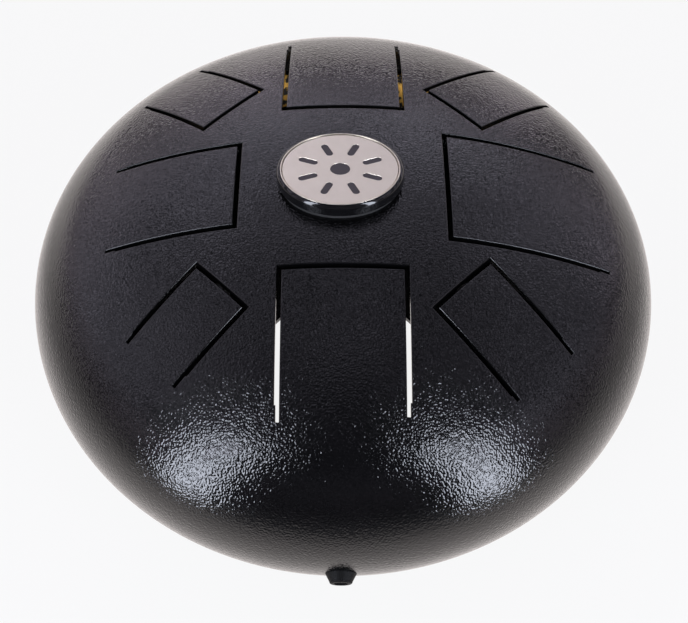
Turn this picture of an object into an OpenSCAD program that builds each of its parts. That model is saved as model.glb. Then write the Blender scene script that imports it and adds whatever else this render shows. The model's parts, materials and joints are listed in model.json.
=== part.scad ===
// Steel tongue drum: two pressed steel shells joined at the seam, eight tongues cut in the top.
// Millimetres, +Z up. Origin on the floor under the drum's axis. Front is -Y, right is +X.

/* [Shells] */
// Diameter across the seam, a 12 inch drum
body_d = 304.8; // [250:0.1:400]
// Thickness of the sheet steel
wall = 3; // [1.5:0.1:5]
// Radius of the shoulder curve on both shells
knuckle_r = 55.2; // [30:0.1:80]
// Height of the upper shell above the seam
upper_h = 79.3; // [60:0.1:120]
// Depth of the lower shell below the seam, before the port is cut
lower_h = 92; // [60:0.1:120]
// Radius of the sound port in the bottom
port_r = 50; // [20:0.1:80]
// Height of the port's rim above the floor
port_lift = 8; // [4:0.1:30]
// Depth of the seam weld's V groove
weld_depth = 2; // [0.5:0.1:3]
// Half height of the seam weld's V groove
weld_half_h = 1.2; // [0.4:0.1:3]

/* [Backing ring] */
// Thickness of the ring behind the seam
ring_t = 1.5; // [0.8:0.1:4]
// Clearance of the ring behind the shells
ring_clear = 0.05; // [0.02:0.01:0.3]
// How far the ring reaches above the seam
ring_up = 2.5; // [1:0.1:20]
// How far the ring reaches below the seam
ring_down = 18.5; // [5:0.1:30]

/* [Tongues] */
// Direction of each tongue seen from above, front first and then clockwise
tongue_az = [270, 225, 180, 135, 90, 45, 0, 315];
// Distance from the drum's axis to the middle of each tip slot, as shares of the drum's radius
tongue_tip_shares = [0.311, 0.4921, 0.3163, 0.4967, 0.3143, 0.4967, 0.3117, 0.4843];
// Half the spacing of each tongue's two side slots, middle to middle, as shares of the drum's radius
tongue_half_w_shares = [0.1818, 0.105, 0.1608, 0.123, 0.185, 0.1207, 0.2041, 0.1168];
// Where the side slot on the clockwise side ends, as shares of the drum's radius
slot_end_a_shares = [0.7349, 0.7684, 0.7113, 0.8091, 0.7559, 0.855, 0.7992, 0.8038];
// Where the side slot on the other side ends, as shares of the drum's radius
slot_end_b_shares = [0.7218, 0.7703, 0.7113, 0.8091, 0.7559, 0.855, 0.7992, 0.8123];
// Length of the narrow tuning cut at the end of the clockwise slot
kerf_len_a = [6.6, 4.3, 5.0, 5.5, 5.0, 6.0, 5.0, 3.0];
// Length of the narrow tuning cut at the end of the other slot
kerf_len_b = [5.4, 6.5, 5.0, 5.5, 5.0, 6.0, 5.0, 7.2];
// Width of the main slots
slot_w = 2.1; // [1:0.05:4]
// Width of the tuning cuts
kerf_w = 1.5; // [0.8:0.05:3]
// Gap that frees a tongue at its root line
root_gap = 0.06; // [0.04:0.01:0.3]

/* [Badge] */
// Longer half of the oval badge
badge_r = 28.6; // [15:0.1:40]
// Shorter half of the badge as a share of the longer half
badge_oval_share = 0.79; // [0.5:0.01:1]
// Badge centre to the left of the axis
badge_left = 1.3; // [0:0.1:5]
// Badge centre in front of the axis
badge_front = 2.5; // [0:0.1:8]
// Top of the badge above the top of the shell
badge_h = 8; // [6:0.1:15]
// Thickness of the adhesive pad at the top of the shell
pad_t = 1.5; // [0.3:0.1:2]
// Film of glue under the pad
pad_glue_t = 0.02; // [0.01:0.01:0.1]
// Inset of the pad from the badge's edge
pad_inset = 1.6; // [0.5:0.1:5]
// Rounding of the badge's upper edge
badge_round = 2.4; // [0.5:0.1:3.2]
// Width of the bright rim
bezel_w = 0.7; // [0.3:0.1:3]
// Dark groove between the rim and the face plate
groove_w = 0.3; // [0.2:0.1:2]
// Thickness of the face plate
plate_t = 1.2; // [0.5:0.1:3]
// How far the face plate lies below the rim
plate_drop = 0.4; // [0:0.1:2]
// Count of the short marks inlaid in the plate
mark_count = 8; // [4:1:16]
// Length of an inlaid mark
mark_len = 9; // [2:0.1:12]
// Width of an inlaid mark
mark_w = 3.2; // [0.5:0.1:4]
// Distance from the plate's middle to the inner end of a mark
mark_at = 11; // [8:0.1:13]
// Depth of the inlaid marks
mark_t = 0.4; // [0.2:0.1:1]
// Radius of the round inlay in the plate's middle
mark_dot_r = 4.4; // [1:0.1:6]

/* [Side bumpers] */
// Direction of the three bumpers seen from above, front first
bumper_az = [269.65, 30, 150];
// How far below the seam the bumpers sit, as an angle around the shoulder
bumper_dip = 12.5; // [0:0.5:30]
// Radius at the shell
bumper_base_r = 6.9; // [4:0.1:15]
// Radius at the outer end
bumper_end_r = 5.1; // [3:0.1:12]
// How far the bumper stands out of the shell
bumper_h = 4.3; // [2:0.1:15]
// Rounding of the outer edge
bumper_round = 0.9; // [0.2:0.1:2]
// Radius of the recess for the screw head
bumper_bore_r = 3.1; // [2:0.1:5]
// Rubber left under the screw head
bumper_floor = 1.4; // [0.5:0.1:4]
// Radius of the small screw
small_screw_r = 1.5; // [1:0.1:3]
// Radius of its head
small_head_r = 2.8; // [2:0.1:5]
// Height of its head
small_head_h = 1.9; // [1:0.1:4]
// Distance across the flats of its nut
small_nut_af = 5.5; // [4:0.1:8]
// Height of its nut
small_nut_h = 2.4; // [1:0.1:5]
// Clearance of each screw in its holes, on the radius
hole_clear = 0.2; // [0.1:0.05:0.6]
// Screw length left beyond each nut
screw_spare = 1.2; // [0.5:0.1:4]

/* [Feet] */
// Direction of the three feet seen from above, front first
foot_az = [270, 30, 150];
// Distance from the drum's axis to each foot's axis
foot_at = 82; // [55:0.1:110]
// Radius of a foot on the floor
foot_low_r = 10; // [6:0.1:20]
// Radius of a foot at the shell
foot_top_r = 12.5; // [6:0.1:25]
// Height of the tapered part of a foot
foot_taper_h = 12; // [5:0.1:30]
// Radius of the recess under a foot
foot_bore_r = 6; // [3:0.1:10]
// Depth of the recess under a foot
foot_bore_h = 6; // [2:0.1:12]
// Rounding of the foot's lower edge
foot_round = 1.5; // [0.5:0.1:4]
// Radius of the foot screw
screw_r = 2.5; // [1.5:0.1:4]
// Radius of its head
head_r = 4.4; // [3:0.1:8]
// Height of its head
head_h = 3.2; // [1:0.1:6]
// Radius of its washer
washer_r = 5.5; // [3:0.1:9]
// Thickness of its washer
washer_t = 1; // [0.5:0.1:2]
// Radius of the bevelled washer inside the drum
bevel_r = 6.5; // [4:0.1:12]
// Thinnest part of the bevelled washer
bevel_min_t = 0.8; // [0.3:0.1:3]
// Distance across the flats of its nut
nut_af = 8; // [5:0.1:14]
// Height of its nut
nut_h = 4; // [2:0.1:8]
// Across the flats of the hexagon socket in both kinds of screw, as a share of the head's radius
socket_share = 0.9; // [0.5:0.01:1.2]
// Depth of the sockets as a share of the head's height
socket_deep_share = 0.55; // [0.2:0.01:0.8]

/* [Preview] */
// Facets on round pieces in the preview
$fn = 96; // [24:1:360]

/* [Hidden] */
body_r = body_d / 2;
knuckle_at = body_r - knuckle_r;
tongue_tip_at = [for (s = tongue_tip_shares) s * body_r];
tongue_half_w = [for (s = tongue_half_w_shares) s * body_r];
slot_end_a = [for (s = slot_end_a_shares) s * body_r];
slot_end_b = [for (s = slot_end_b_shares) s * body_r];
function crown_c(h) = (knuckle_at * knuckle_at - pow(h - knuckle_r, 2)) / (2 * (h - knuckle_r));
up_c = crown_c(upper_h);
up_r = up_c + upper_h;
low_c = crown_c(lower_h);
low_r = low_c + lower_h;
rim_depth = sqrt(low_r * low_r - port_r * port_r) - low_c;
seam_z = rim_depth + port_lift;
far = body_d * 2;
hex_share = 1 / cos(30);
top_z = seam_z + upper_h;
foot_drop = sqrt(pow(low_r - wall, 2) - pow(foot_at + bevel_r, 2)) - low_c;
bevel_top = seam_z - foot_drop + bevel_min_t;
small_nut_corner = small_nut_af * hex_share / 2;
ring_out_r = knuckle_r - wall - ring_clear;
ring_in_r = ring_out_r - ring_t;
// A flat nut inside the hollow of the ring touches it at the nut's corners
nut_seat = knuckle_r - sqrt(pow(ring_in_r, 2) - pow(small_nut_corner, 2));

// Solid outline of half a dome, r across and z up, shrunk by inset and run on below zero by drop
module dome_2d(h, inset, drop) {
  c = crown_c(h);
  intersection() {
    translate([0, -c]) circle(r = c + h - inset, $fn = 720);
    polygon([[0, -c], [2 * knuckle_at, c], [0, 2 * (c + h)]]);
    translate([0, -drop]) square([far, far]);
  }
  intersection() {
    translate([knuckle_at, 0]) circle(r = knuckle_r - inset, $fn = 720);
    translate([knuckle_at, -drop]) square([far, far]);
  }
  translate([0, -drop]) square([knuckle_at, drop + knuckle_r / 2]);
}

module weld_2d() {
  polygon([[body_r - weld_depth, 0], [body_r + weld_depth, 2 * weld_half_h],
           [body_r + weld_depth, -2 * weld_half_h]]);
}

module shell_2d(h) {
  difference() {
    dome_2d(h, 0, 0);
    dome_2d(h, wall, wall);
    weld_2d();
  }
}

module upper_blank() {
  translate([0, 0, seam_z]) rotate_extrude($fn = 180) shell_2d(upper_h);
}

// The whole space inside the lower shell's outer surface
module lower_space() {
  translate([0, 0, seam_z]) mirror([0, 0, 1]) rotate_extrude($fn = 180) dome_2d(lower_h, 0, 0);
}

module lower_blank() {
  translate([0, 0, seam_z]) mirror([0, 0, 1]) rotate_extrude($fn = 180) shell_2d(lower_h);
}

// Place children at a direction seen from above, with their +X pointing outward
module around(az) {
  rotate([0, 0, az]) children();
}

function root_at(i) = min(slot_end_a[i] - kerf_len_a[i], slot_end_b[i] - kerf_len_b[i]);

// Everything that the cutter removes for tongue i, and the tongue with it
module window(i) {
  tip = tongue_tip_at[i] - slot_w / 2;
  out_y = tongue_half_w[i] + slot_w / 2;
  in_y = tongue_half_w[i] - slot_w / 2;
  wide_a = slot_end_a[i] - kerf_len_a[i];
  wide_b = slot_end_b[i] - kerf_len_b[i];
  around(tongue_az[i]) translate([0, 0, seam_z + wall]) linear_extrude(height = upper_h + wall)
    polygon([[tip, -out_y], [wide_a, -out_y], [wide_a, -in_y - kerf_w], [slot_end_a[i], -in_y - kerf_w],
             [slot_end_a[i], -in_y], [root_at(i), -in_y], [root_at(i), in_y], [slot_end_b[i], in_y],
             [slot_end_b[i], in_y + kerf_w], [wide_b, in_y + kerf_w], [wide_b, out_y], [tip, out_y]]);
}

module tongue(i) {
  a = tongue_tip_at[i] + slot_w / 2;
  w = tongue_half_w[i] - slot_w / 2;
  color([0.1, 0.1, 0.11]) intersection() {
    upper_blank();
    around(tongue_az[i]) translate([a, -w, seam_z + wall]) cube([root_at(i) - root_gap - a, 2 * w, upper_h]);
  }
}

module upper_shell() {
  color([0.1, 0.1, 0.11]) difference() {
    upper_blank();
    for (i = [0 : len(tongue_az) - 1]) window(i);
  }
}

// A frame on the shoulder: children's +Z points straight out of the lower shell
module at_bumper(az) {
  around(az) translate([knuckle_at, 0, seam_z]) rotate([0, 90 + bumper_dip, 0])
    translate([0, 0, knuckle_r]) children();
}

module at_foot(az) {
  around(az) translate([foot_at, 0, 0]) children();
}

module lower_shell() {
  color([0.1, 0.1, 0.11]) difference() {
    lower_blank();
    translate([0, 0, seam_z - lower_h - wall]) cylinder(r = port_r, h = lower_h, $fn = 180);
    for (az = bumper_az) at_bumper(az)
      translate([0, 0, -2 * wall]) cylinder(r = small_screw_r + hole_clear, h = 4 * wall);
    for (az = foot_az) at_foot(az) cylinder(r = screw_r + hole_clear, h = seam_z);
  }
}

module seam_weld() {
  color([0.12, 0.12, 0.13]) translate([0, 0, seam_z]) rotate_extrude($fn = 180) intersection() {
    translate([knuckle_at, 0]) circle(r = knuckle_r, $fn = 720);
    weld_2d();
  }
}

module seam_backing_ring() {
  color([0.8, 0.6, 0.25]) difference() {
    translate([0, 0, seam_z]) rotate_extrude($fn = 180) intersection() {
      difference() {
        translate([knuckle_at, 0]) circle(r = ring_out_r, $fn = 720);
        translate([knuckle_at, 0]) circle(r = ring_in_r, $fn = 720);
      }
      translate([knuckle_at, -ring_down]) square([far, ring_down + ring_up]);
    }
    for (az = bumper_az) at_bumper(az)
      translate([0, 0, -4 * wall]) cylinder(r = small_screw_r + hole_clear, h = 6 * wall);
  }
}

// Badge pieces are drawn as round ones and then squeezed into an oval
module badge_place() {
  translate([-badge_left, -badge_front, 0]) scale([1, badge_oval_share, 1]) children();
}

bezel_t = plate_t + plate_drop;
bezel_r = badge_r - badge_round + bezel_w;
plate_r = bezel_r - bezel_w - groove_w;
badge_top = top_z + badge_h;

module oval(r, z, h) {
  translate([-badge_left, -badge_front, z]) linear_extrude(h) scale([1, badge_oval_share]) circle(r = r);
}

module badge_edge_2d() {
  translate([0, badge_top - badge_round]) {
    square([badge_r - badge_round, badge_round]);
    intersection() {
      translate([badge_r - badge_round, 0]) circle(r = badge_round);
      square([badge_r, badge_round]);
    }
  }
}

module crown_ball(lift) {
  translate([0, 0, seam_z - up_c]) sphere(r = up_r + lift, $fn = 360);
}

module badge_base() {
  color([0.04, 0.04, 0.045]) difference() {
    union() {
      oval(badge_r, top_z + pad_t, badge_h - pad_t - badge_round);
      badge_place() rotate_extrude() badge_edge_2d();
    }
    oval(bezel_r, badge_top - bezel_t, far);
  }
}

module badge_bezel() {
  z = badge_top - bezel_t;
  color([0.8, 0.8, 0.82]) difference() {
    oval(bezel_r, z, bezel_t);
    oval(bezel_r - bezel_w, z - bezel_t, bezel_t * 3);
  }
}

module mark_cuts(z, h) {
  for (k = [0 : mark_count - 1]) rotate([0, 0, 360 * (k + 1 / 2) / mark_count])
    translate([mark_at, -mark_w / 2, z]) cube([mark_len, mark_w, h]);
  translate([0, 0, z]) cylinder(r = mark_dot_r, h = h);
}

module badge_plate() {
  z = badge_top - plate_drop;
  color([0.85, 0.84, 0.84]) difference() {
    oval(plate_r, badge_top - bezel_t, plate_t);
    badge_place() mark_cuts(z - mark_t, 2 * mark_t);
  }
}

module badge_inlay() {
  color([0.06, 0.06, 0.065]) badge_place() mark_cuts(badge_top - plate_drop - mark_t, mark_t);
}

module badge_pad() {
  color([0.2, 0.2, 0.2]) difference() {
    oval(badge_r - pad_inset, seam_z, upper_h + pad_t);
    crown_ball(pad_glue_t);
  }
}

module hex_cut(head, deep) {
  cylinder(r = head * socket_share * hex_share / 2, h = deep, $fn = 6);
}

module bumper(az) {
  color([0.05, 0.05, 0.05]) difference() {
    at_bumper(az) difference() {
      rotate_extrude() union() {
        polygon([[0, -wall], [bumper_base_r, -wall], [bumper_base_r, 0],
                 [bumper_end_r, bumper_h - bumper_round], [0, bumper_h - bumper_round]]);
        square([bumper_end_r - bumper_round, bumper_h]);
        intersection() {
          translate([bumper_end_r - bumper_round, bumper_h - bumper_round]) circle(r = bumper_round);
          square([bumper_end_r, bumper_h]);
        }
      }
      translate([0, 0, bumper_floor]) cylinder(r = bumper_bore_r, h = bumper_h);
      translate([0, 0, -2 * wall]) cylinder(r = small_screw_r + hole_clear, h = 4 * wall);
    }
    translate([0, 0, seam_z]) rotate_extrude($fn = 180)
      translate([knuckle_at, 0]) circle(r = knuckle_r, $fn = 720);
  }
}

module side_bumper_screws() {
  tail = nut_seat + small_nut_h + screw_spare;
  color([0.7, 0.7, 0.72]) for (az = bumper_az) at_bumper(az) difference() {
    union() {
      translate([0, 0, -tail]) cylinder(r = small_screw_r, h = tail + bumper_floor);
      translate([0, 0, bumper_floor]) cylinder(r = small_head_r, h = small_head_h);
    }
    translate([0, 0, bumper_floor + small_head_h * (1 - socket_deep_share)])
      hex_cut(small_head_r, small_head_h);
  }
}

module side_bumper_nuts() {
  color([0.72, 0.72, 0.74]) for (az = bumper_az) at_bumper(az)
    translate([0, 0, -nut_seat - small_nut_h]) difference() {
      cylinder(r = small_nut_corner, h = small_nut_h, $fn = 6);
      cylinder(r = small_screw_r, h = small_nut_h);
    }
}

module foot(az) {
  color([0.05, 0.05, 0.05]) difference() {
    at_foot(az) difference() {
      rotate_extrude() union() {
        polygon([[0, foot_round], [foot_low_r, foot_round], [foot_top_r, foot_taper_h],
                 [foot_top_r, seam_z / 3], [0, seam_z / 3]]);
        square([foot_low_r - foot_round, foot_round]);
        intersection() {
          translate([foot_low_r - foot_round, foot_round]) circle(r = foot_round);
          square([foot_low_r, foot_round]);
        }
      }
      cylinder(r = foot_bore_r, h = foot_bore_h);
      cylinder(r = screw_r + hole_clear, h = seam_z);
    }
    lower_space();
  }
}

module foot_washers() {
  color([0.7, 0.7, 0.72]) for (az = foot_az) at_foot(az)
    translate([0, 0, foot_bore_h - washer_t]) difference() {
      cylinder(r = washer_r, h = washer_t);
      cylinder(r = screw_r + hole_clear, h = washer_t);
    }
}

module foot_screws() {
  z = foot_bore_h - washer_t;
  color([0.7, 0.7, 0.72]) for (az = foot_az) at_foot(az) difference() {
    union() {
      translate([0, 0, z - head_h]) cylinder(r = head_r, h = head_h);
      translate([0, 0, z]) cylinder(r = screw_r, h = bevel_top + nut_h + screw_spare - z);
    }
    translate([0, 0, z - head_h]) hex_cut(head_r, head_h * socket_deep_share);
  }
}

module foot_bevel_washers() {
  color([0.68, 0.68, 0.7]) intersection() {
    for (az = foot_az) at_foot(az) difference() {
      cylinder(r = bevel_r, h = bevel_top);
      cylinder(r = screw_r + hole_clear, h = bevel_top);
    }
    translate([0, 0, seam_z + low_c]) sphere(r = low_r - wall, $fn = 360);
  }
}

module foot_nuts() {
  color([0.72, 0.72, 0.74]) for (az = foot_az) at_foot(az) translate([0, 0, bevel_top]) difference() {
    cylinder(r = nut_af * hex_share / 2, h = nut_h, $fn = 6);
    cylinder(r = screw_r, h = nut_h);
  }
}

upper_shell();
tongue(0);  // tongue_front
tongue(1);  // tongue_front_left
tongue(2);  // tongue_left
tongue(3);  // tongue_back_left
tongue(4);  // tongue_back
tongue(5);  // tongue_back_right
tongue(6);  // tongue_right
tongue(7);  // tongue_front_right
lower_shell();
seam_weld();
seam_backing_ring();
badge_base();
badge_bezel();
badge_plate();
badge_inlay();
badge_pad();
bumper(bumper_az[0]);  // side_bumper_front
bumper(bumper_az[1]);  // side_bumper_right
bumper(bumper_az[2]);  // side_bumper_left
side_bumper_screws();
side_bumper_nuts();
foot(foot_az[0]);  // foot_front
foot(foot_az[1]);  // foot_right
foot(foot_az[2]);  // foot_left
foot_washers();
foot_screws();
foot_bevel_washers();
foot_nuts();
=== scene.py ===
import bpy
import json
import math
import numpy as np
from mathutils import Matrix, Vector
from mathutils.geometry import delaunay_2d_cdt


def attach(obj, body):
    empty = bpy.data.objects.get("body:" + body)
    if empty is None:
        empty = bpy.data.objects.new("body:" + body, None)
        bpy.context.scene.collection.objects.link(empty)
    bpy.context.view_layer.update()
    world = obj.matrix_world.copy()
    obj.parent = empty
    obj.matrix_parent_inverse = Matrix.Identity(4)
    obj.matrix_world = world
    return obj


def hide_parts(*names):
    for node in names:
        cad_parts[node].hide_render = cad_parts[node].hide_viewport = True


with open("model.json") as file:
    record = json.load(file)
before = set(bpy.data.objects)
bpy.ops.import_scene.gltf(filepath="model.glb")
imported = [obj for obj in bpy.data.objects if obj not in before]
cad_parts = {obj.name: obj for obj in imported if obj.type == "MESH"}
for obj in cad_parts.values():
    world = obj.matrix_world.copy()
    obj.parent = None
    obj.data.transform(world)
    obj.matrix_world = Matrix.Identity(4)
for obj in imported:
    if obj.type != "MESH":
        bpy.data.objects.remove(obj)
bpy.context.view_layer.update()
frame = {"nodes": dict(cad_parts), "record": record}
nodes = frame["nodes"]
scene = bpy.context.scene


# Helpers for node trees
def new_material(name):
    mat = bpy.data.materials.new(name)
    mat.use_nodes = True
    tree = mat.node_tree
    tree.nodes.clear()
    out = tree.nodes.new("ShaderNodeOutputMaterial")
    return mat, tree, out


def noise(tree, coords, scale, detail):
    made = tree.nodes.new("ShaderNodeTexNoise")
    made.inputs["Scale"].default_value = scale
    made.inputs["Detail"].default_value = detail
    tree.links.new(coords, made.inputs["Vector"])
    return made.outputs["Fac"]


def map_range(tree, value, low, high, to_low, to_high, smooth=True):
    made = tree.nodes.new("ShaderNodeMapRange")
    made.interpolation_type = "SMOOTHSTEP" if smooth else "LINEAR"
    for key, number in (("From Min", low), ("From Max", high), ("To Min", to_low), ("To Max", to_high)):
        made.inputs[key].default_value = number
    tree.links.new(value, made.inputs["Value"])
    return made.outputs["Result"]


def wander(tree, coords, scale, detail, low, high):
    """A value that drifts over the surface from low to high."""
    return map_range(tree, noise(tree, coords, scale, detail), 0.3, 0.7, low, high)


def math_node(tree, operation, a, b=None):
    made = tree.nodes.new("ShaderNodeMath")
    made.operation = operation
    for socket, value in zip(made.inputs, (a, b)):
        if value is None:
            continue
        if isinstance(value, (int, float)):
            socket.default_value = value
        else:
            tree.links.new(value, socket)
    return made.outputs[0]


def two_colours(tree, fac, low, high):
    """low and high are colours or the outputs that give them."""
    made = tree.nodes.new("ShaderNodeMix")
    made.data_type = "RGBA"
    for key, colour in (("A", low), ("B", high)):
        if isinstance(colour, tuple):
            made.inputs[key].default_value = (*colour, 1)
        else:
            tree.links.new(colour, made.inputs[key])
    tree.links.new(fac, made.inputs["Factor"])
    return made.outputs["Result"]


def two_values(tree, fac, low, high):
    """low and high are numbers or the outputs that give them."""
    made = tree.nodes.new("ShaderNodeMix")
    for key, value in (("A", low), ("B", high)):
        if isinstance(value, float):
            made.inputs[key].default_value = value
        else:
            tree.links.new(value, made.inputs[key])
    tree.links.new(fac, made.inputs["Factor"])
    return made.outputs["Result"]


def two_shaders(tree, fac, low, high):
    made = tree.nodes.new("ShaderNodeMixShader")
    for socket, value in zip(made.inputs, (fac, low, high)):
        tree.links.new(value, socket)
    return made.outputs[0]


def bump(tree, height, distance, under=None):
    made = tree.nodes.new("ShaderNodeBump")
    made.inputs["Distance"].default_value = distance
    made.inputs["Strength"].default_value = 1.0
    tree.links.new(height, made.inputs["Height"])
    if under is not None:
        tree.links.new(under, made.inputs["Normal"])
    return made.outputs["Normal"]


def object_coords(tree):
    return tree.nodes.new("ShaderNodeTexCoord").outputs["Object"]


def split_xyz(tree, coords):
    made = tree.nodes.new("ShaderNodeSeparateXYZ")
    tree.links.new(coords, made.inputs[0])
    return made.outputs


def feed(tree, shader, **values):
    """Links outputs to a shader's sockets. A socket's name is written with _ for its spaces."""
    for key, value in values.items():
        tree.links.new(value, shader.inputs[key.replace("_", " ")])


# Sizes of the CAD model, in millimetres until a mesh is made
MM = 0.001
BODY_R = 152.4
KNUCKLE_R = 55.2
KNUCKLE_AT = BODY_R - KNUCKLE_R
WALL = 3.0
SEAM_Z = 93.713
UPPER_H = 79.3
LOWER_H = 92.0
TOP_Z = SEAM_Z + UPPER_H
PORT_R = 50.0
FOOT_AZ = (270, 30, 150)
FOOT_AT = 82.0
FOOT_HOLE_R = 2.7

# The weld groove: its depth at the seam, and its half width in millimetres and as an angle round the shoulder
GROOVE_DEEP = 2.0
GROOVE_REACH = 1.2
GROOVE_HALF = math.asin(GROOVE_REACH / KNUCKLE_R)

# The tongues. TONGUE_AZ is in degrees anticlockwise from the X axis, and the shares are of the drum's radius.
# Each slot has two ends, a and b, and is only KERF_W wide over its last KERF_A or KERF_B millimetres.
TONGUES = ("tongue_front", "tongue_front_left", "tongue_left", "tongue_back_left",
           "tongue_back", "tongue_back_right", "tongue_right", "tongue_front_right")
TONGUE_AZ = (270, 225, 180, 135, 90, 45, 0, 315)
TIP_SHARES = (0.311, 0.4921, 0.3163, 0.4967, 0.3143, 0.4967, 0.3117, 0.4843)
HALF_W_SHARES = (0.1818, 0.105, 0.1608, 0.123, 0.185, 0.1207, 0.2041, 0.1168)
END_A_SHARES = (0.7349, 0.7684, 0.7113, 0.8091, 0.7559, 0.855, 0.7992, 0.8038)
END_B_SHARES = (0.7218, 0.7703, 0.7113, 0.8091, 0.7559, 0.855, 0.7992, 0.8123)
KERF_A = (6.6, 4.3, 5.0, 5.5, 5.0, 6.0, 5.0, 3.0)
KERF_B = (5.4, 6.5, 5.0, 5.5, 5.0, 6.0, 5.0, 7.2)
SLOT_W = 2.1
KERF_W = 1.5
ROOT_GAP = 0.06

# Which edges of a window and of its tongue are cut, and so rounded: all but the one at the root
ROOT_EDGE = 5
HOLE_LOOSE = [edge != ROOT_EDGE for edge in range(12)]
TONGUE_LOOSE = [True, False, True, True]

# How finely the shells are meshed. SPLIT_R is the radius, seen from above, at which the sheet that is meshed
# from above meets the shoulder that is turned. EDGE_BOW keeps the points of a straight cut off one line.
SPLIT_R = 134.0
CUT_STEP = 2.5
SHEET_STEP = 3.5
EDGE_ROUND = 0.5
EDGE_STEPS = 4
EDGE_BOW = 0.01
TURNS = 360
FOOT_HOLE_TURNS = 32
OUTER_ROWS = 26
INNER_ROWS = 18
WELD_ROWS = 4
GRID_ROW = 0.866
GRID_CLEARANCE = 0.45
SAME_POINT = 1e-7
SAME_DIGITS = 5


def round_way(count=TURNS):
    """Unit vectors round a circle, seen from above."""
    turn = np.arange(count) * 2 * math.pi / count
    return np.stack([np.cos(turn), np.sin(turn)], -1)


def lifted(plan, z):
    """Points or directions seen from above, all given one height."""
    return np.concatenate([plan, np.full((len(plan), 1), z)], 1)


def turned(points, degrees):
    a = math.radians(degrees)
    return np.asarray(points) @ np.array([[math.cos(a), math.sin(a)], [-math.sin(a), math.cos(a)]])


class Dome:
    """One shell as a surface of revolution. side is 1 above the seam and -1 below it."""

    def __init__(self, height, side):
        self.side = side
        self.c = (KNUCKLE_AT ** 2 - (height - KNUCKLE_R) ** 2) / (2 * (height - KNUCKLE_R))
        self.radius = self.c + height

    def at(self, xy, inset=0.0):
        """Points and outward normals of the surface over plan points."""
        x, y = xy[..., 0], xy[..., 1]
        r = np.hypot(x, y)
        big, small = self.radius - inset, KNUCKLE_R - inset
        turn = KNUCKLE_AT * big / (self.radius - KNUCKLE_R)
        crown = r <= turn
        z = np.where(crown, np.sqrt(np.maximum(big ** 2 - r ** 2, 0)) - self.c,
                     np.sqrt(np.maximum(small ** 2 - (r - KNUCKLE_AT) ** 2, 0)))
        nr = np.where(crown, r / big, (r - KNUCKLE_AT) / small)
        nz = np.where(crown, (z + self.c) / big, z / small)
        safe = np.maximum(r, 1e-9)
        points = np.stack([x, y, SEAM_Z + self.side * z], -1)
        return points, np.stack([nr * x / safe, nr * y / safe, self.side * nz], -1)


class Faces:
    """Collects faces with a normal for each corner, and makes one mesh of them."""

    def __init__(self):
        self.sets = []

    def add(self, points, normals, slot=0):
        """points and normals are (faces, corners, 3). A face that looks the wrong way is turned round."""
        points, normals = np.asarray(points, float), np.asarray(normals, float)
        if points.shape[1] > 3:
            first, last = points[:, 2] - points[:, 0], points[:, -1] - points[:, 1]
        else:
            first, last = points[:, 1] - points[:, 0], points[:, 2] - points[:, 0]
        wrong = (np.cross(first, last) * normals.sum(1)).sum(1) < 0
        points[wrong] = points[wrong][:, ::-1]
        normals[wrong] = normals[wrong][:, ::-1]
        self.sets.append((points, normals, slot))

    def strip(self, upper, lower, upper_n, lower_n):
        """Quads between two closed rows of points."""
        k = np.arange(len(upper))
        j = (k + 1) % len(upper)
        self.add(np.stack([upper[k], upper[j], lower[j], lower[k]], 1),
                 np.stack([upper_n[k], upper_n[j], lower_n[j], lower_n[k]], 1))

    def strips(self, rows, side=1):
        """Strips between rows of (points, normals). With side -1 they face against their normals."""
        for (a, an), (b, bn) in zip(rows[:-1], rows[1:]):
            self.strip(a, b, side * an, side * bn)

    def mesh(self, name):
        corners = np.concatenate([p.reshape(-1, 3) for p, _, _ in self.sets])
        normals = np.concatenate([n.reshape(-1, 3) for _, n, _ in self.sets])
        keys, index = np.unique(np.round(corners, SAME_DIGITS), axis=0, return_inverse=True)
        index = index.reshape(-1)
        faces, loop_normals, slots, at = [], [], [], 0
        for points, _, slot in self.sets:
            count, sides = points.shape[:2]
            for _ in range(count):
                ids, kept = [], []
                for corner in range(at, at + sides):
                    if index[corner] not in ids:
                        ids.append(int(index[corner]))
                        kept.append(normals[corner])
                at += sides
                if len(ids) > 2:
                    faces.append(ids)
                    slots.append(slot)
                    loop_normals.extend(kept)
        made = bpy.data.meshes.new(name)
        made.from_pydata((keys * MM).tolist(), [], faces)
        made.polygons.foreach_set("use_smooth", [True] * len(faces))
        made.polygons.foreach_set("material_index", slots)
        length = np.linalg.norm(np.array(loop_normals), axis=1, keepdims=True)
        made.normals_split_custom_set((np.array(loop_normals) / np.maximum(length, 1e-12)).tolist())
        made.update()
        return made


class Loop:
    """A closed cut seen from above. ring(o) is its outline set back by o into the metal."""

    def __init__(self, corners, loose, hole=True):
        """corners run anticlockwise at right angles. loose tells which edges are cut and so rounded."""
        corners = np.array(corners, float)
        ahead = np.roll(corners, -1, 0)
        length = np.linalg.norm(ahead - corners, axis=1)
        along = (ahead - corners) / length[:, None]
        out = np.stack([along[:, 1], -along[:, 0]], -1)
        sign = 1.0 if hole else -1.0
        set_back = sign * out * np.array(loose, float)[:, None]
        self.move = set_back + np.roll(set_back, 1, 0)
        self.corners, self.out = corners, out
        self.parts = [max(1, int(round(d / CUT_STEP))) for d in length]
        wall = np.repeat(-sign * out, self.parts, 0)
        self.wall = np.stack([wall, wall], 1)
        self.flat = np.repeat([not cut for cut in loose], self.parts)

    def ring(self, o):
        moved = self.corners + o * self.move
        ahead = np.roll(moved, -1, 0)
        rows = []
        for i, n in enumerate(self.parts):
            t = (np.arange(n) / n)[:, None]
            rows.append(moved[i] + (ahead[i] - moved[i]) * t + self.out[i] * EDGE_BOW * 4 * t * (1 - t))
        return np.concatenate(rows)


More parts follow.
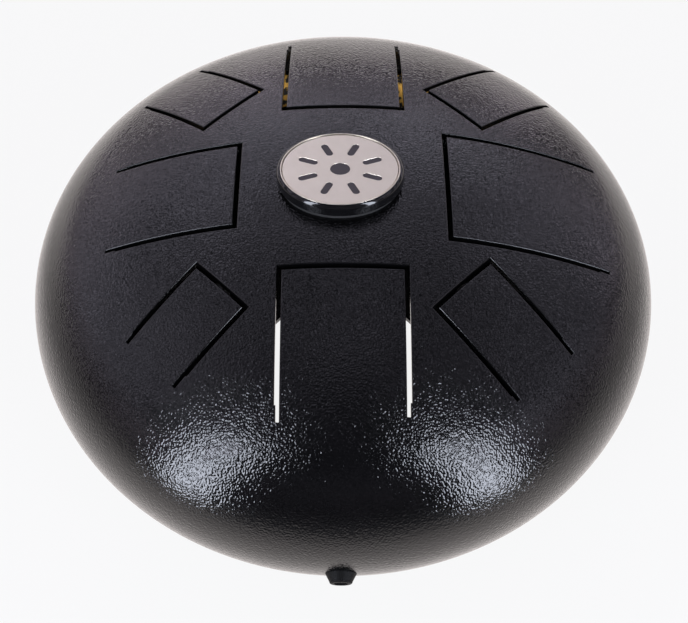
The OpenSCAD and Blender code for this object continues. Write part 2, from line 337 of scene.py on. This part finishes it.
class Round:
    """A round hole seen from above, with the same calls as Loop."""

    def __init__(self, centre, radius, count):
        self.way = round_way(count)
        self.centre, self.radius = np.array(centre, float), radius
        self.wall = np.stack([-self.way, -np.roll(self.way, -1, 0)], 1)
        self.flat = np.zeros(count, bool)

    def ring(self, o):
        return self.centre + self.way * (self.radius + o)


def window_corners(i):
    """The outlines of a tongue's window in the shell and of the tongue in it, seen from above."""
    tip = TIP_SHARES[i] * BODY_R - SLOT_W / 2
    out_y = HALF_W_SHARES[i] * BODY_R + SLOT_W / 2
    in_y = out_y - SLOT_W
    kerf_y = in_y + KERF_W
    end_a, end_b = END_A_SHARES[i] * BODY_R, END_B_SHARES[i] * BODY_R
    wide_a, wide_b = end_a - KERF_A[i], end_b - KERF_B[i]
    root = min(wide_a, wide_b)
    free = root - ROOT_GAP
    hole = [(tip, -out_y), (wide_a, -out_y), (wide_a, -kerf_y), (end_a, -kerf_y), (end_a, -in_y), (root, -in_y),
            (root, in_y), (end_b, in_y), (end_b, kerf_y), (wide_b, kerf_y), (wide_b, out_y), (tip, out_y)]
    tongue = [(tip + SLOT_W, -in_y), (free, -in_y), (free, in_y), (tip + SLOT_W, in_y)]
    return turned(hole, TONGUE_AZ[i]), turned(tongue, TONGUE_AZ[i])


def inside(points, outline):
    """Which points lie inside a closed outline."""
    hit = np.zeros(len(points), bool)
    x, y = points[:, 0], points[:, 1]
    for (x0, y0), (x1, y1) in zip(outline, np.roll(outline, -1, 0)):
        cross = (y0 > y) != (y1 > y)
        rise = y1 - y0 if y1 != y0 else 1e-12
        hit ^= cross & (x < (x1 - x0) * (y - y0) / rise + x0)
    return hit


def away(points, outline, least):
    """Which points lie at least that far from a closed outline."""
    near = np.full(len(points), 1e9)
    for a, b in zip(outline, np.roll(outline, -1, 0)):
        d = b - a
        t = np.clip(((points - a) @ d) / max(d @ d, 1e-12), 0, 1)
        near = np.minimum(near, np.linalg.norm(points - a - t[:, None] * d, axis=1))
    return near >= least


def triangulate(rings, keep, spacing, low, high):
    """Triangles over the plan, bounded by closed rings, with a grid of points where keep(points) says so.
    Gives the points, the triangles, and for each point its number in the row of all rings and the grid."""
    xs = np.arange(low[0], high[0], spacing)
    ys = np.arange(low[1], high[1], spacing * GRID_ROW)
    grid = np.array([(x + spacing / 2 * (j % 2), y) for j, y in enumerate(ys) for x in xs])
    grid = grid[keep(grid)]
    for ring in rings:
        grid = grid[away(grid, ring, spacing * GRID_CLEARANCE)]
    points, edges = [], []
    for ring in rings:
        start, n = len(points), len(ring)
        points += [tuple(p) for p in ring]
        edges += [(start + k, start + (k + 1) % n) for k in range(n)]
    points += [tuple(p) for p in grid]
    found = delaunay_2d_cdt([Vector(p) for p in points], edges, [], 0, SAME_POINT)
    source = np.array([ids[0] for ids in found[3]])
    xy = np.array(points)[source]
    tris = np.array(found[2])
    tris = tris[keep(xy[tris].mean(1))]
    return xy, tris, source


def sheet_with_cuts(faces, dome, outer_ring, cuts, solid=None):
    """Top and underside of a sheet seen from above, with a rounded wall around each cut.
    outer_ring is a plain outer edge, or None where the only cut, solid, is the outline itself."""
    first = [cut.ring(EDGE_ROUND) for cut in cuts]
    rings = first + ([outer_ring] if outer_ring is not None else [])

    def keep(points):
        good = np.hypot(points[:, 0], points[:, 1]) < SPLIT_R
        for cut, ring in zip(cuts, first):
            good &= inside(points, ring) if cut is solid else ~inside(points, ring)
        return good

    spread = np.concatenate(rings)
    xy, tris, source = triangulate(rings, keep, SHEET_STEP, spread.min(0), spread.max(0))
    below = xy.copy()
    bare = np.concatenate([cut.ring(0.0) for cut in cuts])
    moved = source < len(bare)
    below[moved] = bare[source[moved]]
    top, top_n = dome.at(xy)
    under, under_n = dome.at(below, WALL)
    faces.add(top[tris], top_n[tris])
    faces.add(under[tris], -under_n[tris])
    for cut in cuts:
        wall_around(faces, dome, cut)


def wall_around(faces, dome, cut):
    """A rounded upper edge and the wall below it. Its faces take the mesh's second material."""
    wall = np.concatenate([cut.wall, np.zeros((*cut.wall.shape[:2], 1))], 2)
    rows = []
    for k in range(EDGE_STEPS + 1):
        turn = math.pi / 2 * k / EDGE_STEPS
        points, normals = dome.at(cut.ring(EDGE_ROUND * (1 - math.sin(turn))))
        points[:, 2] -= dome.side * EDGE_ROUND * (1 - math.cos(turn))
        here = np.stack([normals, np.roll(normals, -1, 0)], 1)
        mixed = math.cos(turn) * here + math.sin(turn) * wall
        mixed[cut.flat] = wall[cut.flat]
        rows.append((points, mixed))
    points, _ = dome.at(cut.ring(0.0), WALL)
    rows.append((points, wall))
    for (a, an), (b, bn) in zip(rows[:-1], rows[1:]):
        corners = np.stack([a, np.roll(a, -1, 0), np.roll(b, -1, 0), b], 1)
        faces.add(corners, np.stack([an[:, 0], an[:, 1], bn[:, 1], bn[:, 0]], 1), 1)


def shoulder_rows(dome, low, high, count, radius):
    """Rings around the shoulder from angle low to angle high, with their normals."""
    way = round_way()
    rows = []
    for angle in np.linspace(low, high, count):
        rise = dome.side * math.sin(angle)
        points = lifted(way * (KNUCKLE_AT + radius * math.cos(angle)), SEAM_Z + radius * rise)
        rows.append((points, lifted(way * math.cos(angle), rise)))
    return rows


def groove_bottom():
    return lifted(round_way() * (BODY_R - GROOVE_DEEP), SEAM_Z)


def shoulder(faces, dome):
    """The shoulder from the split radius to the seam, inside and outside, with its half of the weld groove."""
    inner_r = KNUCKLE_R - WALL
    outer_top = math.acos((SPLIT_R - KNUCKLE_AT) / KNUCKLE_R)
    inner_top = math.acos((SPLIT_R - KNUCKLE_AT) / inner_r)
    outer = shoulder_rows(dome, outer_top, GROOVE_HALF, OUTER_ROWS, KNUCKLE_R)
    inner = shoulder_rows(dome, inner_top, 0.0, INNER_ROWS, inner_r)
    faces.strips(outer)
    faces.strips(inner, -1)
    bottom = groove_bottom()
    slope = lifted(round_way() * math.sin(math.pi / 4), -dome.side * math.cos(math.pi / 4))
    faces.strip(outer[-1][0], bottom, slope, slope)
    down = np.tile([0.0, 0.0, -dome.side], (TURNS, 1))
    faces.strip(bottom, inner[-1][0], down, down)


# Badge sizes in millimetres. The badge is drawn as a round one and then squeezed into its oval.
BADGE_R = 28.6
OVAL = 0.79
BADGE_AT = (-1.3, -2.5)
BADGE_TOP = TOP_Z + 8.0
BADGE_FOOT = TOP_Z + 1.5
BADGE_ROUND = 2.4
FOOT_ROUND = 0.6
RIM_R = 26.9
RIM_W = 0.7
RIM_H = 1.6
RIM_BEVEL = 0.3
FACE_R = 25.95
FACE_DROP = 0.4
FACE_T = 1.2
FACE_CHAMFER = 0.15
MARK_DEEP = 0.4
MARK_SUNK = 0.05
MARK_CHAMFER = 0.08
MARK_PLAY = 0.03
MARKS = 8
MARK_AT = 11.0
MARK_LEN = 9.0
MARK_W = 3.2
DOT_R = 4.4

# How finely the badge is meshed. AXIS_R is the small hole that a turned face leaves at its middle.
LATHE_TURNS = 180
FACE_TURNS = 160
DOT_TURNS = 40
MARK_END_STEPS = 8
MARK_SIDE_STEPS = 4
ROLL_STEPS = 12
BEVEL_STEPS = 6
FACE_STEP = 2.0
MARK_STEP = 1.0
AXIS_R = 0.001


def to_oval(points, normals):
    """Round badge space to the real place on the drum."""
    points = np.asarray(points, float) * np.array([1, OVAL, 1]) + np.array([*BADGE_AT, 0])
    return points, np.asarray(normals, float) / np.array([1, OVAL, 1])


class Outline:
    """A smooth closed outline seen from above, anticlockwise. ring(o) is the outline grown by o."""

    def __init__(self, points):
        self.points = np.array(points, float)
        along = np.roll(self.points, -1, 0) - np.roll(self.points, 1, 0)
        self.out = np.stack([along[:, 1], -along[:, 0]], -1) / np.linalg.norm(along, axis=1, keepdims=True)

    def ring(self, o):
        return self.points + self.out * o


def capsule(length, width, at, azimuth):
    """A bar with round ends that starts at a distance from the middle."""
    r = width / 2
    turn = np.linspace(-math.pi / 2, math.pi / 2, MARK_END_STEPS + 1)
    far = np.stack([at + length - r + np.cos(turn) * r, np.sin(turn) * r], -1)
    near = np.stack([at + r - np.cos(turn) * r, -np.sin(turn) * r], -1)
    share = np.linspace(0, 1, MARK_SIDE_STEPS + 1)[1:-1, None]
    points = [far, far[-1] + (near[0] - far[-1]) * share, near, near[-1] + (far[0] - near[-1]) * share]
    return Outline(turned(np.concatenate(points), azimuth))


def slab(faces, top, bottom, outer, cuts, chamfer, spacing):
    """A flat plate in badge space with chamfered edges, bounded by one outline and pierced by others."""
    upper = [outer.ring(-chamfer)] + [cut.ring(chamfer) for cut in cuts]
    lower = np.concatenate([outer.ring(0)] + [cut.ring(0) for cut in cuts])

    def keep(points):
        good = inside(points, upper[0])
        for ring in upper[1:]:
            good &= ~inside(points, ring)
        return good

    xy, tris, source = triangulate(upper, keep, spacing, upper[0].min(0), upper[0].max(0))
    under = xy.copy()
    moved = source < len(lower)
    under[moved] = lower[source[moved]]
    for plan, z, side in ((xy, top, 1.0), (under, bottom, -1.0)):
        points = lifted(plan, z)[tris]
        faces.add(*to_oval(points, np.broadcast_to([0, 0, side], points.shape)))
    for shape, sign in [(outer, 1)] + [(cut, -1) for cut in cuts]:
        out = lifted(shape.out * sign, 0.0)
        up = np.tile([0.0, 0.0, 1.0], (len(out), 1))
        rim, edge = lifted(shape.ring(-sign * chamfer), top), lifted(shape.ring(0), top - chamfer)
        faces.strips([to_oval(rim, out + up), to_oval(edge, out + up)])
        faces.strips([to_oval(edge, out), to_oval(lifted(shape.ring(0), bottom), out)])


def lathe(faces, profile):
    """Turns a profile of (r, z, nr, nz) rows, in badge space."""
    way = round_way(LATHE_TURNS)
    rings = [to_oval(lifted(way * r, z), lifted(way * nr, nz)) for r, z, nr, nz in profile]
    for (a, an), (b, bn) in zip(rings[:-1], rings[1:]):
        if not np.allclose(a, b):
            faces.strip(a, b, an, bn)


def arc(r, z, radius, start, end, steps):
    """Profile rows around an arc, with angles from the horizontal in degrees."""
    rows = []
    for a in np.radians(np.linspace(start, end, steps)):
        rows.append((r + radius * math.cos(a), z + radius * math.sin(a), math.cos(a), math.sin(a)))
    return rows


# Materials. The peel of the coat has layers of (noise scale, depth in metres).
PEEL = ((520, 0.00005), (1150, 0.00018))
COAT_IOR = 1.5
COAT_TONES = ((0.0018, 0.0018, 0.002), (0.0034, 0.0033, 0.0036))
PLATING_TONES = ((0.85, 0.47, 0.08), (1.0, 0.68, 0.2))
BLACK = (0.004, 0.004, 0.0045)


def principled(name):
    """A material with one shader, its node tree, its coordinates and the shader."""
    mat, t, out = new_material(name)
    bsdf = t.nodes.new("ShaderNodeBsdfPrincipled")
    feed(t, out, Surface=bsdf.outputs[0])
    return mat, t, object_coords(t), bsdf


def shell_coat(name, peel, rough):
    """Glossy black powder coat. peel is the depth of its orange peel as a share of the open sheet's."""
    mat, t, co, bsdf = principled(name)
    bsdf.inputs["IOR"].default_value = COAT_IOR
    normal = None
    for scale, depth in PEEL:
        normal = bump(t, noise(t, co, scale, detail=0.0), depth * peel, normal)
    feed(t, bsdf,
         Base_Color=two_colours(t, noise(t, co, scale=60, detail=3), *COAT_TONES),
         Roughness=wander(t, co, 900, 2, *rough),
         Normal=normal)
    return mat


def metal(name, low, high, rough, grain=2600, depth=0.00001):
    mat, t, co, bsdf = principled(name)
    bsdf.inputs["Metallic"].default_value = 1.0
    feed(t, bsdf,
         Base_Color=two_colours(t, noise(t, co, scale=240, detail=4), low, high),
         Roughness=wander(t, co, scale=500, detail=3, low=rough - 0.06, high=rough + 0.06),
         Normal=bump(t, noise(t, co, grain, detail=3), depth))
    return mat


def plastic(name, low, high, rough, depth=0.00002, grain=1800, specular=0.5):
    mat, t, co, bsdf = principled(name)
    bsdf.inputs["Specular IOR Level"].default_value = specular
    feed(t, bsdf,
         Base_Color=two_colours(t, noise(t, co, scale=300, detail=3), low, high),
         Roughness=wander(t, co, scale=700, detail=2, low=rough - 0.04, high=rough + 0.05),
         Normal=bump(t, noise(t, co, grain, detail=2), depth))
    return mat


def plated_ring():
    """Yellow plating with black patches, which grow away from the middle line x = 0, so it is barest behind the
    back tongue.
    """
    mat, t, co, bsdf = principled("ring_plate")
    x = split_xyz(t, co)[0]
    # The share of black over the plating, which rises with distance from x = 0 and drifts with noise
    aside = map_range(t, math_node(t, "ABSOLUTE", x), 0.045, 0.075, -0.03, 0.14)
    black_patches = math_node(t, "ADD", noise(t, co, scale=240, detail=3), aside)
    black_patches = map_range(t, black_patches, 0.46, 0.55, 0.0, 1.0)
    plating = two_colours(t, noise(t, co, scale=240, detail=4), *PLATING_TONES)
    feed(t, bsdf,
         Base_Color=two_colours(t, black_patches, plating, BLACK),
         Metallic=map_range(t, black_patches, 0.0, 1.0, 1.0, 0.0),
         Roughness=wander(t, co, scale=500, detail=3, low=0.29, high=0.41),
         Normal=bump(t, noise(t, co, scale=2600, detail=3), distance=0.00001))
    return mat


SLOT_MATERIALS = {
    "shell_coat": shell_coat("shell_coat", 1.0, (0.09, 0.15)),
    "ring_plate": plated_ring(),
    "badge_black": plastic("badge_black", BLACK, (0.006, 0.006, 0.0065), 0.08, 0.000002),
    "badge_bright": metal("badge_bright", (0.70, 0.64, 0.53), (0.76, 0.695, 0.585), 0.34, 3000, 0.000004),
    "inlay_dark": plastic("inlay_dark", (0.035, 0.028, 0.03), (0.05, 0.042, 0.045), 0.4),
    "pad_foam": plastic("pad_foam", (0.01, 0.01, 0.01), (0.03, 0.03, 0.03), 0.8, 0.0002, 900),
    "rubber": plastic("rubber", (0.002, 0.002, 0.002), (0.006, 0.006, 0.006), 0.55, 0.0001, 1500, 0.1),
    "fastener": metal("fastener", (0.5, 0.5, 0.52), (0.66, 0.66, 0.68), 0.3),
}
COATED_EDGE = shell_coat("shell_coat_edge", 0.25, (0.12, 0.2))
slot_of = {s["node"]: s["material_slot"] for s in frame["record"]["subparts"]}
for name, obj in nodes.items():
    obj.data.materials.clear()
    obj.data.materials.append(SLOT_MATERIALS[slot_of[name]])


# The pieces
def finished(faces, name, body, slot, *replaced):
    """Makes a visible piece that rides on a body and stands in for the replaced CAD nodes."""
    mesh = faces.mesh(name)
    obj = bpy.data.objects.new(name, mesh)
    scene.collection.objects.link(obj)
    mesh.materials.append(SLOT_MATERIALS[slot])
    if slot == "shell_coat":
        mesh.materials.append(COATED_EDGE)
    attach(obj, body)
    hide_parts(*replaced)


def make_upper_shell():
    dome = Dome(UPPER_H, 1)
    holes = []
    for i, name in enumerate(TONGUES):
        hole, tongue = window_corners(i)
        holes.append(Loop(hole, HOLE_LOOSE))
        outline = Loop(tongue, TONGUE_LOOSE, hole=False)
        faces = Faces()
        sheet_with_cuts(faces, dome, None, [outline], solid=outline)
        finished(faces, name + "_sheet", name, "shell_coat", name)
    faces = Faces()
    sheet_with_cuts(faces, dome, round_way() * SPLIT_R, holes)
    shoulder(faces, dome)
    finished(faces, "upper_shell_sheet", "drum", "shell_coat", "upper_shell")


def make_lower_shell():
    dome = Dome(LOWER_H, -1)
    cuts = [Round((0, 0), PORT_R, TURNS)]
    for azimuth in FOOT_AZ:
        a = math.radians(azimuth)
        cuts.append(Round((FOOT_AT * math.cos(a), FOOT_AT * math.sin(a)), FOOT_HOLE_R, FOOT_HOLE_TURNS))
    faces = Faces()
    sheet_with_cuts(faces, dome, round_way() * SPLIT_R, cuts)
    shoulder(faces, dome)
    finished(faces, "lower_shell_sheet", "drum", "shell_coat", "lower_shell")


def make_weld():
    """The ground weld fills the groove flush, so its face has the shoulder's own curve."""
    up, down = Dome(UPPER_H, 1), Dome(UPPER_H, -1)
    rows = shoulder_rows(up, GROOVE_HALF, 0.0, WELD_ROWS, KNUCKLE_R)
    rows += shoulder_rows(down, 0.0, GROOVE_HALF, WELD_ROWS, KNUCKLE_R)[1:]
    faces = Faces()
    faces.strips(rows)
    for side, edge in ((1, rows[0][0]), (-1, rows[-1][0])):
        slope = lifted(-round_way(), side)
        faces.strip(edge, groove_bottom(), slope, slope)
    finished(faces, "seam_weld_bead", "drum", "shell_coat", "seam_weld")


def make_badge():
    # The body's upper edge rolls over to the rim and its lower edge is rounded off
    seat = BADGE_TOP - RIM_H
    lean = math.degrees(math.acos((RIM_R - BADGE_R + BADGE_ROUND) / BADGE_ROUND))
    rolled = arc(BADGE_R - BADGE_ROUND, BADGE_TOP - BADGE_ROUND, BADGE_ROUND, lean, 0, ROLL_STEPS)
    tucked = arc(BADGE_R - FOOT_ROUND, BADGE_FOOT + FOOT_ROUND, FOOT_ROUND, 0, -90, BEVEL_STEPS)
    brink = rolled[0][1]
    body = Faces()
    lathe(body, rolled + tucked + [(AXIS_R, BADGE_FOOT, 0, -1)])
    lathe(body, [(RIM_R, brink, -1, 0), (RIM_R, seat, -1, 0), (RIM_R, seat, 0, 1), (AXIS_R, seat, 0, 1)])
    finished(body, "badge_body", "drum", "badge_black", "badge_base")

    rim = Faces()
    inner = RIM_R - RIM_W
    crest = BADGE_TOP - RIM_BEVEL
    lathe(rim, arc(RIM_R - RIM_BEVEL, crest, RIM_BEVEL, 0, 90, BEVEL_STEPS)
          + arc(inner + RIM_BEVEL, crest, RIM_BEVEL, 90, 180, BEVEL_STEPS))
    lathe(rim, [(inner, crest, -1, 0), (inner, seat, -1, 0), (inner, seat, 0, -1),
                (RIM_R, seat, 0, -1), (RIM_R, seat, 1, 0), (RIM_R, crest, 1, 0)])
    finished(rim, "badge_rim", "drum", "badge_bright", "badge_bezel")

    marks = [capsule(MARK_LEN, MARK_W, MARK_AT, 360 * (k + 0.5) / MARKS) for k in range(MARKS)]
    marks.append(Outline(round_way(DOT_TURNS) * DOT_R))
    face_top = BADGE_TOP - FACE_DROP
    face = Faces()
    plate = Outline(round_way(FACE_TURNS) * FACE_R)
    slab(face, face_top, face_top - FACE_T, plate, marks, FACE_CHAMFER, FACE_STEP)
    finished(face, "badge_face", "drum", "badge_bright", "badge_plate")
    inlay = Faces()
    for mark in marks:
        slab(inlay, face_top - MARK_SUNK, face_top - MARK_DEEP, Outline(mark.ring(-MARK_PLAY)), [],
             MARK_CHAMFER, MARK_STEP)
    finished(inlay, "badge_marks", "drum", "inlay_dark", "badge_inlay")


make_upper_shell()
make_lower_shell()
make_weld()
make_badge()


# The surroundings, in metres
FLOOR_SIZE = 8.0
FLOOR_GREY = 0.8
FLOOR_GLOW = 0.985
FLOOR_GLOW_SHARE = 0.9
ROOM_WHITE = 0.945
ZENITH = 0.48
LAMP_COLOUR = (0.82, 0.87, 1.0)
LAMPS_AT = (("left", -39.5), ("right", 38.0))

# Ramps of brightness, each as (from here, to here, from this level, to this level). The floor's run over
# metres, FLOOR_FADE outwards and the others along Y. The studio's run over the direction that is looked in,
# the three called STUDIO from -1 towards the camera to 1 behind the drum, and the others over its height.
FLOOR_FADE = (0.19, 0.55, 1.2, 0.6)
FLOOR_FRONT = (-0.6, -0.22, 0.1, 1.0)
FLOOR_BACK = (0.15, 0.45, 0.0, 0.75)
STUDIO_FRONT = (-0.84, -0.5, 0.06, 0.4)
STUDIO_SIDES = (-0.5, 0.5, 0.0, 0.17)
STUDIO_BACK = (0.68, 0.8, 0.0, 0.08)
SIDES_TOP = (0.8, 0.93, 1.0, 0.65)
BACK_TOP = (0.78, 0.96, 1.0, 0.6)
BAND_TOP = (0.72, 0.52, 1.0, 1.4)
BAND_FOOT = (0.18, 0.4, 0.68, 1.0)
TINT = (0.1, 0.5, 0.0, 1.0)

# ABOVE runs over the level part of the direction, 0 for straight up, and PANELS over the panels' noise
ABOVE = (0.31, 0.0, 0.0, 1.0)
PANELS = (0.48, 0.58, 0.15, 2.3)


def ray_is(tree, *kinds):
    path = tree.nodes.new("ShaderNodeLightPath")
    total = path.outputs[kinds[0]]
    for kind in kinds[1:]:
        total = math_node(tree, "MAXIMUM", total, path.outputs[kind])
    return total


def floor_material():
    """Camera, glossy and transmission rays see most of the floor's white as its own glow, so it stays pale
    under the drum. The rest of it takes the light and the drum's shadow."""
    mat, t, out = new_material("floor_white")
    co = object_coords(t)
    y = split_xyz(t, co)[1]
    off = t.nodes.new("ShaderNodeVectorMath")
    off.operation = "LENGTH"
    t.links.new(co, off.inputs[0])
    # In reflections the floor is darkest towards the camera and brightest behind the drum
    mirrored = math_node(t, "MULTIPLY", map_range(t, off.outputs["Value"], *FLOOR_FADE),
                         map_range(t, y, *FLOOR_FRONT))
    mirrored = math_node(t, "ADD", mirrored, map_range(t, y, *FLOOR_BACK))
    diffuse = t.nodes.new("ShaderNodeBsdfDiffuse")
    diffuse.inputs["Color"].default_value = (FLOOR_GREY, FLOOR_GREY, FLOOR_GREY, 1)
    glow = t.nodes.new("ShaderNodeEmission")
    feed(t, glow,
         Color=two_colours(t, ray_is(t, "Is Glossy Ray"), (1.0, 1.0, 1.0), (1.0, 0.93, 0.9)),
         Strength=two_values(t, ray_is(t, "Is Glossy Ray"), FLOOR_GLOW, mirrored))
    seen = ray_is(t, "Is Camera Ray", "Is Glossy Ray", "Is Transmission Ray")
    share = math_node(t, "MULTIPLY", seen, FLOOR_GLOW_SHARE)
    feed(t, out, Surface=two_shaders(t, share, diffuse.outputs[0], glow.outputs[0]))
    return mat


def make_floor():
    bpy.ops.mesh.primitive_plane_add(size=FLOOR_SIZE, location=(0, 0, 0))
    floor = bpy.context.object
    floor.name = "floor"
    floor.data.materials.append(floor_material())


def make_world():
    """A white room for the camera. The object is lit by a studio, dark in front and bright at the back."""
    world = bpy.data.worlds.new("studio")
    scene.world = world
    world.use_nodes = True
    t = world.node_tree
    t.nodes.clear()
    out = t.nodes.new("ShaderNodeOutputWorld")
    way = t.nodes.new("ShaderNodeTexCoord").outputs["Generated"]
    x, y, z = split_xyz(t, way)
    squares = [math_node(t, "MULTIPLY", side, side) for side in (x, y)]
    flat = math_node(t, "SQRT", math_node(t, "ADD", *squares))
    behind = math_node(t, "DIVIDE", y, flat)
    sides = math_node(t, "ADD", map_range(t, behind, *STUDIO_FRONT), map_range(t, behind, *STUDIO_SIDES))
    sides = math_node(t, "MULTIPLY", sides, map_range(t, z, *SIDES_TOP))
    back = math_node(t, "MULTIPLY", map_range(t, behind, *STUDIO_BACK), map_range(t, z, *BACK_TOP))
    # A brighter band at middle height
    band = math_node(t, "MULTIPLY", map_range(t, z, *BAND_TOP), map_range(t, z, *BAND_FOOT))
    ring = math_node(t, "MULTIPLY", math_node(t, "ADD", sides, back), band)
    above = map_range(t, flat, *ABOVE, smooth=False)
    level = two_values(t, above, ring, ZENITH)
    # Lamps and gaps between them, which show up the peel of the coat
    panels = map_range(t, noise(t, way, scale=8, detail=0.0), *PANELS)
    studio = t.nodes.new("ShaderNodeBackground")
    feed(t, studio,
         Color=two_colours(t, map_range(t, z, *TINT), (1.05, 0.91, 1.05), (0.96, 0.925, 1.12)),
         Strength=math_node(t, "MULTIPLY", level, panels))
    white = t.nodes.new("ShaderNodeBackground")
    white.inputs["Color"].default_value = (ROOM_WHITE, ROOM_WHITE, ROOM_WHITE, 1)
    direct = ray_is(t, "Is Camera Ray", "Is Transmission Ray")
    feed(t, out, Surface=two_shaders(t, direct, studio.outputs[0], white.outputs[0]))


def softbox(name, azimuth, distance, width, low, high, lean, radiance, mirrored):
    """A lamp that faces the drum, with its top leant inwards. One kind is only seen in reflections and the
    other only lights."""
    light = bpy.data.lights.new(name, "AREA")
    light.shape = "RECTANGLE"
    light.size = width
    light.size_y = high - low
    light.energy = radiance * width * (high - low) * math.pi
    light.color = LAMP_COLOUR
    obj = bpy.data.objects.new(name, light)
    scene.collection.objects.link(obj)
    a = math.radians(azimuth)
    way = Vector((math.sin(a), -math.cos(a), 0))
    obj.location = way * distance + Vector((0, 0, (low + high) / 2))
    obj.rotation_euler = (-way).to_track_quat("-Z", "Y").to_euler()
    obj.rotation_euler.rotate_axis("Z", math.radians(math.copysign(lean, azimuth)))
    obj.visible_camera = False
    obj.visible_glossy = mirrored
    obj.visible_diffuse = not mirrored


def make_camera():
    """The camera that was solved from the drum's outline and the tongues' corners."""
    cam = bpy.data.cameras.new("camera")
    cam.sensor_width = 36.0
    cam.lens = 63.64
    cam.shift_x = 0.0013
    cam.shift_y = -0.0452
    cam.clip_start = 0.01
    obj = bpy.data.objects.new("camera", cam)
    obj.location = (0, -0.36454, 0.586153)
    obj.rotation_euler = (math.radians(36.51), 0, 0)
    scene.collection.objects.link(obj)
    scene.camera = obj


make_floor()
make_world()
for side, azimuth in LAMPS_AT:
    softbox("softbox_" + side, azimuth, distance=0.6, width=0.115, low=0.01, high=0.88, lean=3, radiance=13.5,
            mirrored=True)
    softbox("lamp_" + side, azimuth, distance=1.2, width=0.6, low=0.1, high=1.3, lean=0, radiance=6.0,
            mirrored=False)
make_camera()
scene.view_settings.view_transform = "Standard"
